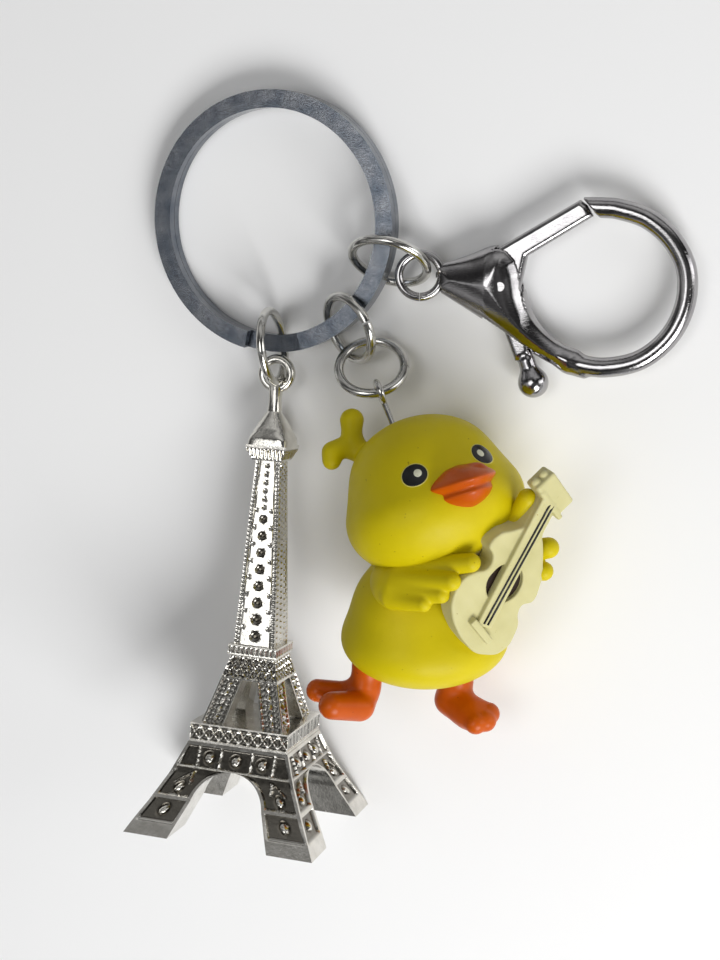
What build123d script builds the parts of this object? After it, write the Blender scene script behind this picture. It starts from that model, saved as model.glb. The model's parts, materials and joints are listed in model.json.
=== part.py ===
from build123d import *
import math
import os

# Keychain with two charms and a lever clasp, lying flat. Millimetres, +Z up.
# Layout points are given on the table; the origin is then moved to the bottom centre of the whole part.
ORIGIN_X = 6.945
ORIGIN_Y = 1.6

# split ring: one flat wire wound twice
RING_OUTER_RADIUS = 14.75
RING_BAND_WIDTH = 2.0
RING_HALF_HEIGHT = 1.1
RING_LAYER_GAP = 0.03
RING_CENTRE = (-9.57, 30.13, 2.34)
RING_X = (0.9969, 0.0, 0.0788)
RING_NORMAL = (-0.0788, 0.0261, 0.9965)
RING_RAMP_LOW_DEG = -97.0
RING_RAMP_HIGH_DEG = -75.0
RING_RAMP_STEPS = 4
RING_TOP_SWEEP_DEG = 332.0
RING_BOTTOM_SWEEP_DEG = 334.0

# jump rings: centre, direction of the cut, normal, mean radius, wire radius, cut angle
TOWER_LINK = ((-9.05, 16.3, 4.72), (0.03, 0.0, 1.0), (0.9913, 0.128, -0.03), 4.05, 0.50, 1.2)
DUCK_UPPER_LINK = ((-0.226, 18.598, 3.55), (0.7134, 0.2763, 0.644), (-0.573, -0.299, 0.763), 3.857, 0.54, 3.0)
DUCK_LOWER_LINK = ((2.624, 14.377, 4.188), (0.99, 0.0, -0.135), (0.092, 0.7339, 0.6729), 3.757, 0.55, 1.2)
CLASP_LINK = ((4.588, 26.292, 3.934), (-0.99, 0.12, 0.0), (-0.096, -0.7819, 0.6159), 4.299, 0.52, 1.2)
CLASP_EYE_RING = ((7.93, 24.758, 3.15), (0.0, -1.0, 0.094), (0.182, 0.092, 0.979), 2.38, 0.48, 1.5)

# lattice tower charm, upright frame: X across, -Y front, Z up from the soles
TOWER_ORIGIN = (-10.31, -39.71, 11.28)
TOWER_X = (0.9998, -0.022, 0.0)
TOWER_UP = (0.0217, 0.988, -0.153)
TOWER_BASE_PROFILE = ((0.0, 11.4), (1.5, 10.55), (3.6, 9.25), (6.6, 7.6), (10.1, 6.1))
TOWER_ARCH_HALF_WIDTH = 6.0
TOWER_ARCH_SHOULDER = (4.35, 3.9)
TOWER_ARCH_TOP = 7.4
DECK_1_HALF = 6.0
DECK_1_BOTTOM = 10.0
DECK_1_TOP = 12.36
MID_BOTTOM_HALF = 5.0
MID_TOP_HALF = 2.6
MID_GAP_BOTTOM_HALF = 2.3
MID_GAP_TOP_HALF = 0.9
MID_GAP_TOP = 17.4
DECK_2_HALF = 3.0
DECK_2_BOTTOM = 20.2
DECK_2_TOP = 21.4
SHAFT_BOTTOM_HALF = 2.49
SHAFT_TOP_HALF = 1.45
CAP_BAND_BOTTOM = 43.1
CAP_BAND_TOP = 44.9
CAP_HALF = 2.45
CAP_BAND_LOW_HALF = 1.75
DOME_TOP = 48.9
NECK_RADIUS = 0.85
EYE_CENTRE_Z = 53.2
EYE_MEAN_RADIUS = 1.7
EYE_WIRE_RADIUS = 0.56

# screw eye in the duck's head
SCREW_EYE_CENTRE = (4.258, 11.982, 6.577)
SCREW_EYE_SHANK = (0.4678, -0.8266, 0.3129)
SCREW_EYE_NORMAL = (0.8505, 0.3247, -0.4138)
SCREW_EYE_MEAN_RADIUS = 1.22
SCREW_EYE_WIRE_RADIUS = 0.34
SCREW_EYE_SHANK_LENGTH = 6.2

# duck, upright frame at the middle of the body: X to the duck's left, -Y front, Z up
DUCK_ORIGIN = (10.375, -15.876, 9.1)
DUCK_X = (0.8165, 0.0008, -0.5774)
DUCK_UP = (0.0415, 0.9973, 0.0601)
BODY_BOTTOM = -6.0
BODY_BASE_RADIUS = 4.6
BODY_BELLY = (9.0, -0.8)
BODY_BASE_BEND = (8.0, -4.2)
BODY_SHOULDER = (6.6, 6.6)
BODY_CHEST = (8.45, 3.2)
BODY_NECK = (4.7, 10.6)
BODY_NECK_BEND = (5.3, 8.5)
HEAD_CENTRE = (0.0, 0.0, 18.3)
HEAD_RADII = (9.95, 9.4, 8.9)
HEAD_X = (0.98, 0.0133, 0.1987)
HEAD_UP = (-0.1878, 0.3929, 0.9001)
TUFT_ROOT = (-5.9, 4.3, 5.4)
TUFT_TIPS = ((-4.94, 4.65, 10.2, 1.35), (-8.7, 4.65, 6.4, 1.2))
BEAK_CENTRE = (0.3, -8.8, -0.9)
BEAK_RADII = (3.9, 3.6, 1.9)
RIGHT_WING = ((-6.0, -2.3, 6.6), 2.3, (1.6, -9.2, 10.4), 1.5)
LEFT_WING = ((6.0, -2.3, 6.6), 2.3, (10.9, -8.2, 12.4), 1.4)
RIGHT_LEG = ((-6.2, 0.6, -3.0), (-7.7, 0.3, -7.3))
RIGHT_FOOT = ((-9.9, 0.1, -7.65), (4.2, 3.1, 1.6))
LEFT_LEG = ((4.0, 0.6, -3.4), (4.2, 0.0, -7.8))
LEFT_FOOT = ((4.4, -1.8, -8.4), (3.6, 4.2, 1.55))
LEG_RADIUS = 1.6

# guitar: X across the face, Y along the neck, Z out of the face
GUITAR_ORIGIN = (4.245, -10.36, 8.57)
GUITAR_X = (0.8835, 0.1808, -0.4322)
GUITAR_FACE = (0.157, -0.9835, -0.0904)
GUITAR_OUTLINE = ((0.0, -6.9), (3.6, -6.0), (4.9, -3.0), (3.9, 0.2), (2.9, 2.2), (3.5, 4.4), (3.3, 6.9), (0.9, 8.2))
GUITAR_THICKNESS = 2.2
NECK_HALF_WIDTH = 0.85
NECK_TOP = 11.2
NECK_THICKNESS = 1.7
HEADSTOCK_LOW = 10.8
HEADSTOCK_HIGH = 14.3
HEADSTOCK_LEFT = -3.1
HEADSTOCK_RIGHT = 1.7
HEADSTOCK_THICKNESS = 2.3

# lever clasp, flat at one height; outline points relative to the tail eye
CLASP_ORIGIN = (10.31, 24.62, 2.7)
CLASP_UPPER_EDGE = ((-0.75, 1.3), (2.68, 2.39), (5.63, 3.61), (7.42, 3.49), (8.62, 2.3), (9.17, 0.72))
CLASP_INNER_EDGE = ((9.17, 0.72), (9.62, -1.78), (10.77, -4.3), (12.82, -6.4), (15.4, -7.75))
CLASP_LOWER_EDGE = ((16.11, -10.39), (12.92, -9.36), (10.09, -7.89), (6.83, -5.85), (3.77, -3.99), (-0.75, -1.4))
CLASP_HALF_THICKNESS = 2.55
CLASP_SHELL_FILLET = 1.0
TAIL_HALF_THICKNESS = 1.35
TAIL_TAPER_LENGTH = 5.2
HOOK_PATH = ((14.6, -8.95), (18.3, -9.3), (22.15, -8.29), (25.11, -5.65), (26.62, -2.16), (26.59, 1.56),
             (24.92, 4.67), (22.31, 6.81), (19.33, 7.75), (17.62, 7.9))
HOOK_RADIUS = 1.12
TAIL_CHANNEL_RADIUS = 0.57
CLASP_TURN_CENTRE = (7.93, 24.758, 3.15)
CLASP_TURN_AXIS = (0.182, 0.092, 0.979)
CLASP_TURN_STEPS_DEG = (0, 10, 20, 30, 40, 50, 60)
EYE_RING_SWING_CENTRE = (8.599, 25.062, 2.997)
EYE_RING_SWING_AXIS = (0.3466, 0.5538, 0.7571)
EYE_RING_SWING_DEG = 10
LINK_CLEARANCE = 0.13
PIVOT = (7.0, -0.6)
PIN_RADIUS = 0.5
PIN_LENGTH = 4.7
LEVER_HOLE_RADIUS = 0.56
LEVER_HALF_THICKNESS = 0.8
LEVER_OUTLINE = ((5.0, 1.2), (6.2, 3.3), (15.1, 8.7), (15.9, 8.15), (16.6, 7.0), (13.2, 4.85), (9.6, 2.6),
                 (8.9, -0.9), (9.3, -3.0), (10.2, -8.0), (8.5, -9.0), (7.1, -5.5), (5.6, -2.0))
LEVER_TRAVEL_DEG = 24
LEVER_SLOT_STEP_DEG = 3
LEVER_SLOT_GAP = 0.14
THUMB_BALL_CENTRE = (10.55, -11.35)
THUMB_BALL_RADIUS = 1.7
THUMB_NECK_RADIUS = 1.05
SPRING_MEAN_RADIUS = 0.95
SPRING_WIRE_RADIUS = 0.16
SPRING_TURNS = 2
SPRING_PITCH = 0.36
SPRING_POCKET_RADIUS = 1.25
SPRING_POCKET_DEPTH = 1.3
SPRING_BASE = 1.12


def on_table(centre, x_dir, normal):
    """Frame of a piece that lies on the table, moved to the part's origin."""
    x, y, z = centre
    return Plane(origin=(x - ORIGIN_X, y - ORIGIN_Y, z), x_dir=x_dir, z_dir=normal)


def wire_ring(mean_radius, wire_radius, cut_deg=0.0):
    """Round wire bent to a ring about Z, cut open at +X."""
    section = Plane.XZ * Pos(mean_radius, 0) * Circle(wire_radius)
    if cut_deg == 0.0:
        return revolve(section, Axis.Z, 360)
    return Rot(0, 0, cut_deg / 2) * revolve(section, Axis.Z, 360 - cut_deg)


def jump_ring(spec):
    centre, cut_dir, normal, mean_radius, wire_radius, cut_deg = spec
    return on_table(centre, cut_dir, normal) * wire_ring(mean_radius, wire_radius, cut_deg)


def ring_layer(start_deg, sweep_deg, low, high):
    radius = RING_OUTER_RADIUS - RING_BAND_WIDTH / 2
    section = Plane.XZ * Pos(radius, (low + high) / 2) * Rectangle(RING_BAND_WIDTH, high - low)
    return Rot(0, 0, start_deg) * revolve(section, Axis.Z, sweep_deg)


def ramp_section(angle_deg, height):
    radius = RING_OUTER_RADIUS - RING_BAND_WIDTH / 2
    c = math.cos(math.radians(angle_deg))
    s = math.sin(math.radians(angle_deg))
    thickness = RING_HALF_HEIGHT - RING_LAYER_GAP
    plane = Plane(origin=(radius * c, radius * s, height), x_dir=(c, s, 0), z_dir=(-s, c, 0))
    return plane * Rectangle(RING_BAND_WIDTH, thickness)


def build_split_ring():
    middle = (RING_HALF_HEIGHT + RING_LAYER_GAP) / 2
    ring = ring_layer(RING_RAMP_HIGH_DEG, RING_TOP_SWEEP_DEG, RING_LAYER_GAP, RING_HALF_HEIGHT)
    bottom_start = RING_RAMP_LOW_DEG - RING_BOTTOM_SWEEP_DEG
    ring += ring_layer(bottom_start, RING_BOTTOM_SWEEP_DEG, -RING_HALF_HEIGHT, -RING_LAYER_GAP)
    span = RING_RAMP_HIGH_DEG - RING_RAMP_LOW_DEG
    for step in range(RING_RAMP_STEPS):
        t0 = step / RING_RAMP_STEPS
        t1 = (step + 1) / RING_RAMP_STEPS
        low = ramp_section(RING_RAMP_LOW_DEG + span * t0, -middle + 2 * middle * t0)
        high = ramp_section(RING_RAMP_LOW_DEG + span * t1, -middle + 2 * middle * t1)
        ring += loft([low, high], ruled=True)
    return on_table(RING_CENTRE, RING_X, RING_NORMAL) * ring


def square_loft(levels):
    """Square column through (height, half width) levels."""
    sections = [Pos(0, 0, z) * Rectangle(2 * half, 2 * half) for z, half in levels]
    return loft(sections, ruled=True)


def cut_both_ways(column, profile_points, half_length):
    """Cut the same window through from front to back and from side to side."""
    window = Plane.XZ * make_face(Polyline(*profile_points, close=True))
    prism = extrude(window, half_length, both=True)
    return column - prism - Rot(0, 0, 90) * prism


def build_tower():
    legs = square_loft(TOWER_BASE_PROFILE)
    shoulder_x, shoulder_z = TOWER_ARCH_SHOULDER
    arch = make_face(
        Line((-TOWER_ARCH_HALF_WIDTH, -1), (TOWER_ARCH_HALF_WIDTH, -1))
        + Line((TOWER_ARCH_HALF_WIDTH, -1), (TOWER_ARCH_HALF_WIDTH, 0))
        + Line((TOWER_ARCH_HALF_WIDTH, 0), (shoulder_x, shoulder_z))
        + ThreePointArc((shoulder_x, shoulder_z), (0, TOWER_ARCH_TOP), (-shoulder_x, shoulder_z))
        + Line((-shoulder_x, shoulder_z), (-TOWER_ARCH_HALF_WIDTH, 0))
        + Line((-TOWER_ARCH_HALF_WIDTH, 0), (-TOWER_ARCH_HALF_WIDTH, -1))
    )
    arch_prism = extrude(Plane.XZ * arch, 14, both=True)
    legs = legs - arch_prism - Rot(0, 0, 90) * arch_prism
    deck_1 = Pos(0, 0, (DECK_1_BOTTOM + DECK_1_TOP) / 2) * Box(
        2 * DECK_1_HALF, 2 * DECK_1_HALF, DECK_1_TOP - DECK_1_BOTTOM)
    mid = square_loft(((DECK_1_TOP - 0.2, MID_BOTTOM_HALF), (DECK_2_BOTTOM + 0.1, MID_TOP_HALF)))
    mid = cut_both_ways(mid, (
        (-MID_GAP_BOTTOM_HALF, DECK_1_TOP), (MID_GAP_BOTTOM_HALF, DECK_1_TOP),
        (MID_GAP_TOP_HALF, MID_GAP_TOP), (-MID_GAP_TOP_HALF, MID_GAP_TOP)), 8)
    deck_2 = Pos(0, 0, (DECK_2_BOTTOM + DECK_2_TOP) / 2) * Box(
        2 * DECK_2_HALF, 2 * DECK_2_HALF, DECK_2_TOP - DECK_2_BOTTOM)
    shaft = square_loft(((DECK_2_TOP - 0.2, SHAFT_BOTTOM_HALF), (CAP_BAND_BOTTOM + 0.2, SHAFT_TOP_HALF)))
    band = square_loft(((CAP_BAND_BOTTOM, CAP_BAND_LOW_HALF), (CAP_BAND_TOP, CAP_HALF)))
    dome = square_loft(((CAP_BAND_TOP, CAP_HALF), (45.7, 2.4), (46.9, 1.95), (48.0, 1.3), (DOME_TOP, 0.62)))
    neck_length = EYE_CENTRE_Z - EYE_MEAN_RADIUS - DOME_TOP + 0.8
    neck = Pos(0, 0, DOME_TOP - 0.8 + neck_length / 2) * Cylinder(NECK_RADIUS, neck_length)
    eye = Pos(0, 0, EYE_CENTRE_Z) * Rot(90, 0, 0) * wire_ring(EYE_MEAN_RADIUS, EYE_WIRE_RADIUS)
    tower = legs + deck_1 + mid + deck_2 + shaft + band + dome + neck + eye
    return on_table(TOWER_ORIGIN, TOWER_X, TOWER_UP) * tower


def build_screw_eye():
    eye = wire_ring(SCREW_EYE_MEAN_RADIUS, SCREW_EYE_WIRE_RADIUS)
    shank_start = SCREW_EYE_MEAN_RADIUS
    middle = shank_start + SCREW_EYE_SHANK_LENGTH / 2
    shank = Pos(middle, 0, 0) * Rot(0, 90, 0) * Cylinder(SCREW_EYE_WIRE_RADIUS, SCREW_EYE_SHANK_LENGTH)
    return on_table(SCREW_EYE_CENTRE, SCREW_EYE_SHANK, SCREW_EYE_NORMAL) * (eye + shank)


def taper_rod(start, start_radius, end, end_radius):
    """Round-ended rod from one ball to another."""
    axis = Vector(*end) - Vector(*start)
    plane = Plane(origin=start, z_dir=axis.normalized())
    cone = plane * Solid.make_cone(start_radius, end_radius, axis.length)
    return cone + Pos(*start) * Sphere(start_radius) + Pos(*end) * Sphere(end_radius)


def ellipsoid(centre, radii):
    return Pos(*centre) * scale(Sphere(1.0), by=radii)


def largest(shape):
    """The one solid that is left after trimming."""
    return sorted(shape.solids(), key=lambda solid: solid.volume)[-1]


def build_guitar():
    right = list(GUITAR_OUTLINE)
    left = [(-x, y) for x, y in reversed(right) if x > 0]
    outline = make_face(Spline(*right, *left, periodic=True))
    body = extrude(outline, -GUITAR_THICKNESS)
    neck_low = GUITAR_OUTLINE[-1][1] - 1.5
    neck = Pos(0, (neck_low + NECK_TOP) / 2, -NECK_THICKNESS / 2) * Box(
        2 * NECK_HALF_WIDTH, NECK_TOP - neck_low, NECK_THICKNESS)
    headstock = Pos((HEADSTOCK_LEFT + HEADSTOCK_RIGHT) / 2, (HEADSTOCK_LOW + HEADSTOCK_HIGH) / 2,
                    -HEADSTOCK_THICKNESS / 2 + 0.3) * Box(
        HEADSTOCK_RIGHT - HEADSTOCK_LEFT, HEADSTOCK_HIGH - HEADSTOCK_LOW, HEADSTOCK_THICKNESS)
    return Plane(origin=GUITAR_ORIGIN, x_dir=GUITAR_X, z_dir=GUITAR_FACE) * (body + neck + headstock)


def build_foot(leg, foot, body):
    leg_start, leg_end = leg
    foot_centre, foot_radii = foot
    shin = taper_rod(leg_start, LEG_RADIUS, leg_end, LEG_RADIUS * 0.85) - body
    sole = Pos(*foot_centre) * scale(Rot(90, 0, 0) * Sphere(1.0), by=foot_radii)
    return shin + sole


def build_duck(screw_eye):
    """Every piece of the duck, trimmed so that glued pieces meet without overlapping."""
    duck = on_table(DUCK_ORIGIN, DUCK_X, DUCK_UP)
    outline = Line((0, BODY_BOTTOM), (BODY_BASE_RADIUS, BODY_BOTTOM))
    outline += ThreePointArc((BODY_BASE_RADIUS, BODY_BOTTOM), BODY_BASE_BEND, BODY_BELLY)
    outline += ThreePointArc(BODY_BELLY, BODY_CHEST, BODY_SHOULDER)
    outline += ThreePointArc(BODY_SHOULDER, BODY_NECK_BEND, BODY_NECK)
    outline += Line(BODY_NECK, (0, BODY_NECK[1])) + Line((0, BODY_NECK[1]), (0, BODY_BOTTOM))
    body = revolve(Plane.XZ * make_face(outline), Axis.Z, 360)
    head_frame = Plane(origin=HEAD_CENTRE, x_dir=HEAD_X, z_dir=HEAD_UP)
    skull = head_frame * ellipsoid((0, 0, 0), HEAD_RADII)
    tuft = Part()
    for tip_x, tip_y, tip_z, tip_radius in TUFT_TIPS:
        tuft += taper_rod(TUFT_ROOT, 1.3, (tip_x, tip_y, tip_z), tip_radius)
    head = skull + head_frame * tuft
    guitar = build_guitar()
    beak = head_frame * ellipsoid(BEAK_CENTRE, BEAK_RADII) - skull
    right_wing = taper_rod(*RIGHT_WING)
    left_wing = taper_rod(*LEFT_WING)
    body = body - guitar
    head = head - body
    feet = [build_foot(RIGHT_LEG, RIGHT_FOOT, body), build_foot(LEFT_LEG, LEFT_FOOT, body)]
    wings = [wing - body - head - guitar for wing in (right_wing, left_wing)]
    pieces = {
        "duck_body": body,
        "duck_head": head,
        "duck_beak": beak,
        "duck_right_wing": wings[0],
        "duck_left_wing": wings[1],
        "duck_right_foot": feet[0],
        "duck_left_foot": feet[1],
        "guitar": guitar,
    }
    placed = {name: duck * largest(piece) for name, piece in pieces.items()}
    placed["duck_head"] = largest(placed["duck_head"] - screw_eye)
    return placed


def lever_blank(extra):
    """Flat lever grown by extra on every side."""
    points = [Vector(x, y) for x, y in LEVER_OUTLINE]
    face = make_face(Polyline(*points, close=True))
    if extra > 0:
        face = offset(face, extra, kind=Kind.ARC)
    return extrude(face, LEVER_HALF_THICKNESS + extra, both=True)


def table_axis(centre, direction):
    return Axis((centre[0] - ORIGIN_X, centre[1] - ORIGIN_Y, centre[2]), direction)


def relieve_for_link(body):
    """Cut the clasp's tail clear of the clasp link over the whole turn of the clasp."""
    centre, cut_dir, normal, mean_radius, wire_radius, cut_deg = CLASP_LINK
    sweeper = on_table(centre, cut_dir, normal) * wire_ring(mean_radius, wire_radius + LINK_CLEARANCE)
    turn = table_axis(CLASP_TURN_CENTRE, CLASP_TURN_AXIS)
    swing = table_axis(EYE_RING_SWING_CENTRE, EYE_RING_SWING_AXIS)
    for degrees in CLASP_TURN_STEPS_DEG:
        body -= sweeper.rotate(turn, -degrees)
    swung = sweeper.rotate(swing, -EYE_RING_SWING_DEG)
    return body - swung.rotate(turn, -CLASP_TURN_STEPS_DEG[-1])


def build_clasp():
    clasp = on_table(CLASP_ORIGIN, (1, 0, 0), (0, 0, 1))
    pivot = Pos(PIVOT[0], PIVOT[1], 0)
    outline = Line(CLASP_LOWER_EDGE[-1], CLASP_UPPER_EDGE[0]) + Spline(*CLASP_UPPER_EDGE)
    outline += Spline(*CLASP_INNER_EDGE) + Line(CLASP_INNER_EDGE[-1], CLASP_LOWER_EDGE[0])
    outline += Spline(*CLASP_LOWER_EDGE)
    shell = extrude(make_face(outline), CLASP_HALF_THICKNESS, both=True)
    side_edges = [edge for edge in shell.edges() if abs(abs(edge.center().Z) - CLASP_HALF_THICKNESS) < 0.01]
    shell = chamfer(side_edges, CLASP_SHELL_FILLET)
    envelope = loft([
        Plane.YZ * Pos(0, 0, -1.0) * Rectangle(30, 2 * TAIL_HALF_THICKNESS),
        Plane.YZ * Pos(0, 0, TAIL_TAPER_LENGTH) * Rectangle(30, 2 * CLASP_HALF_THICKNESS)], ruled=True)
    envelope += Pos(TAIL_TAPER_LENGTH + 2, 0, 0) * Box(4, 30, 2 * CLASP_HALF_THICKNESS)
    envelope += loft([
        Plane.YZ * Pos(0, 0, TAIL_TAPER_LENGTH + 4) * Rectangle(30, 2 * CLASP_HALF_THICKNESS),
        Plane.YZ * Pos(0, 0, 16.5) * Rectangle(30, 2 * HOOK_RADIUS)], ruled=True)
    shell = shell & envelope
    path = Spline(*HOOK_PATH)
    section = Plane(origin=path @ 0, z_dir=path % 0) * Circle(HOOK_RADIUS)
    hook = sweep(section, path=path)
    body = shell + hook
    for step in range(0, LEVER_TRAVEL_DEG + 2 * LEVER_SLOT_STEP_DEG, LEVER_SLOT_STEP_DEG):
        turned = pivot * Rot(0, 0, -step) * pivot.inverse() * lever_blank(LEVER_SLOT_GAP)
        body -= turned
    body -= pivot * Pos(0, 0, SPRING_POCKET_DEPTH / 2 + 0.7) * Cylinder(
        SPRING_POCKET_RADIUS, SPRING_POCKET_DEPTH)
    pin = pivot * Cylinder(PIN_RADIUS, PIN_LENGTH)
    body -= pin
    centre, cut_dir, normal, mean_radius, wire_radius, cut_deg = CLASP_EYE_RING
    channel = on_table(centre, cut_dir, normal) * wire_ring(mean_radius, TAIL_CHANNEL_RADIUS)
    placed_body = largest(relieve_for_link(clasp * body - channel))
    lever = lever_blank(0)
    ball = Pos(THUMB_BALL_CENTRE[0], THUMB_BALL_CENTRE[1], 0)
    lever += ball * Sphere(THUMB_BALL_RADIUS)
    lever += taper_rod((9.75, -8.95, 0), THUMB_NECK_RADIUS, (*THUMB_BALL_CENTRE, 0), THUMB_NECK_RADIUS * 1.1)
    lever -= pivot * Cylinder(LEVER_HOLE_RADIUS, 10)
    helix = Helix(pitch=SPRING_PITCH, height=SPRING_PITCH * SPRING_TURNS, radius=SPRING_MEAN_RADIUS)
    coil_section = Plane(origin=helix @ 0, z_dir=helix % 0) * Circle(SPRING_WIRE_RADIUS)
    spring = pivot * Pos(0, 0, SPRING_BASE - 0.18) * sweep(coil_section, path=helix)
    return {
        "clasp_body": placed_body,
        "clasp_lever": clasp * largest(lever),
        "clasp_pin": clasp * pin,
        "clasp_spring": clasp * spring,
    }


def build_all():
    screw_eye = build_screw_eye()
    nodes = {
        "split_ring": build_split_ring(),
        "tower_link": jump_ring(TOWER_LINK),
        "tower_charm": build_tower(),
        "duck_upper_link": jump_ring(DUCK_UPPER_LINK),
        "duck_lower_link": jump_ring(DUCK_LOWER_LINK),
        "screw_eye": screw_eye,
        "clasp_link": jump_ring(CLASP_LINK),
        "clasp_eye_ring": jump_ring(CLASP_EYE_RING),
    }
    nodes.update(build_duck(screw_eye))
    nodes.update(build_clasp())
    return nodes


os.makedirs("parts", exist_ok=True)
for name, shape in build_all().items():
    shape.label = name
    export_step(shape, "parts/" + name + ".step")
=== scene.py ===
"""Keychain with a split ring, a lever clasp, a lattice tower charm and a duckling charm with a guitar."""
import json
import math

import bpy
import numpy as np
from mathutils import Matrix, Vector


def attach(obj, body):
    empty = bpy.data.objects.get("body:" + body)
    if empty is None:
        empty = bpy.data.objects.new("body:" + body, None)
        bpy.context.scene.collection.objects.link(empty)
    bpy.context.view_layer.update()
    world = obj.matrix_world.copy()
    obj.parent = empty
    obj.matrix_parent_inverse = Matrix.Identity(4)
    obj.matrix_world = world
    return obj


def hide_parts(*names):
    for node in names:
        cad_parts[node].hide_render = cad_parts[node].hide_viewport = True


MM = 0.001

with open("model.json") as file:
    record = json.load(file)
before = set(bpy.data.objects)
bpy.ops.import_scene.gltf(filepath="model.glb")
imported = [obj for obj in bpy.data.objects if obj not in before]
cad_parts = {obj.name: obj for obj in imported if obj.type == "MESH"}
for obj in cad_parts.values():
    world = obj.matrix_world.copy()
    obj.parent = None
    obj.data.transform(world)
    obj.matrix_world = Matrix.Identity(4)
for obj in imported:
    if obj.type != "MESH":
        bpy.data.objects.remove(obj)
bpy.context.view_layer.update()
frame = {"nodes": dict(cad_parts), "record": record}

# The layout is given in millimetres on the table, and the split ring's mount ties it to the frame.
RING_CENTRE = Vector((-9.57, 30.13, 2.34))
ring_mount = next(m for m in frame["record"]["mounts"] if m["name"] == "key_loop")
TABLE = Matrix.Translation(Vector(ring_mount["pos_m"]) / MM - RING_CENTRE)


def axes(origin, x_dir, z_dir):
    """Matrix of a local frame from its origin, X direction and Z direction."""
    z_axis = Vector(z_dir).normalized()
    x_axis = Vector(x_dir)
    x_axis = (x_axis - z_axis * x_axis.dot(z_axis)).normalized()
    matrix = Matrix((x_axis, z_axis.cross(x_axis), z_axis)).transposed().to_4x4()
    matrix.translation = Vector(origin)
    return matrix


TOWER = TABLE @ axes((-10.31, -39.71, 11.28), (0.9998, -0.022, 0.0), (0.0217, 0.988, -0.153))
DUCK = TABLE @ axes((10.375, -15.876, 9.1), (0.8165, 0.0008, -0.5774), (0.0415, 0.9973, 0.0601))
HEAD = DUCK @ axes((0.0, 0.0, 18.3), (0.98, 0.0133, 0.1987), (-0.1878, 0.3929, 0.9001))
GUITAR = DUCK @ axes((4.245, -10.36, 8.57), (0.8835, 0.1808, -0.4322), (0.157, -0.9835, -0.0904))


# ---------------------------------------------------------------- materials

def new_material(name, **values):
    """Principled material with plain socket values."""
    material = bpy.data.materials.new(name)
    material.use_nodes = True
    shader = material.node_tree.nodes["Principled BSDF"]
    for socket, value in values.items():
        shader.inputs[socket.replace("_", " ")].default_value = value
    return material, material.node_tree, shader


def link(tree, source, output, target, socket):
    tree.links.new(source.outputs[output], target.inputs[socket])


def noise(tree, scale, detail=4.0, roughness=0.55, stretch=(1.0, 1.0, 1.0)):
    """Noise in object space; stretch squeezes it along an axis."""
    coordinates = tree.nodes.new("ShaderNodeTexCoord")
    mapping = tree.nodes.new("ShaderNodeMapping")
    mapping.inputs["Scale"].default_value = stretch
    texture = tree.nodes.new("ShaderNodeTexNoise")
    texture.inputs["Scale"].default_value = scale
    texture.inputs["Detail"].default_value = detail
    texture.inputs["Roughness"].default_value = roughness
    link(tree, coordinates, "Object", mapping, "Vector")
    link(tree, mapping, "Vector", texture, "Vector")
    return texture


def ramp(tree, source, output, stops):
    """Colour ramp with (position, colour) stops."""
    node = tree.nodes.new("ShaderNodeValToRGB")
    elements = node.color_ramp.elements
    while len(elements) < len(stops):
        elements.new(0.5)
    for element, (position, colour) in zip(elements, stops):
        element.position = position
        element.color = (*colour, 1.0)
    link(tree, source, output, node, "Fac")
    return node


def grey(value):
    return (value, value, value)


def add_bump(tree, shader, heights):
    """Chain of bumps: (texture, strength, distance in metres)."""
    previous = None
    for texture, strength, distance in heights:
        bump = tree.nodes.new("ShaderNodeBump")
        bump.inputs["Strength"].default_value = strength
        bump.inputs["Distance"].default_value = distance
        link(tree, texture, "Fac", bump, "Height")
        if previous is not None:
            link(tree, previous, "Normal", bump, "Normal")
        previous = bump
    link(tree, previous, "Normal", shader, "Normal")


def worn_chrome(name, dark, light, rough_low, rough_high, scratch_strength):
    """Plated metal with faint stains, fine scratches and uneven gloss."""
    material, tree, shader = new_material(name, Metallic=1.0)
    stains = noise(tree, 420.0, 6.0)
    colour = ramp(tree, stains, "Fac", ((0.3, dark), (0.7, light)))
    link(tree, colour, "Color", shader, "Base Color")
    patches = noise(tree, 900.0, 8.0, 0.7, (1.0, 1.0, 3.0))
    gloss = ramp(tree, patches, "Fac", ((0.35, grey(rough_low)), (0.7, grey(rough_high))))
    link(tree, gloss, "Color", shader, "Roughness")
    scratches = noise(tree, 1500.0, 3.0, 0.6, (1.0, 9.0, 1.0))
    grain = noise(tree, 5200.0, 2.0)
    add_bump(tree, shader, ((scratches, scratch_strength, 0.00004), (grain, 0.12, 0.00002)))
    return material


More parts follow.
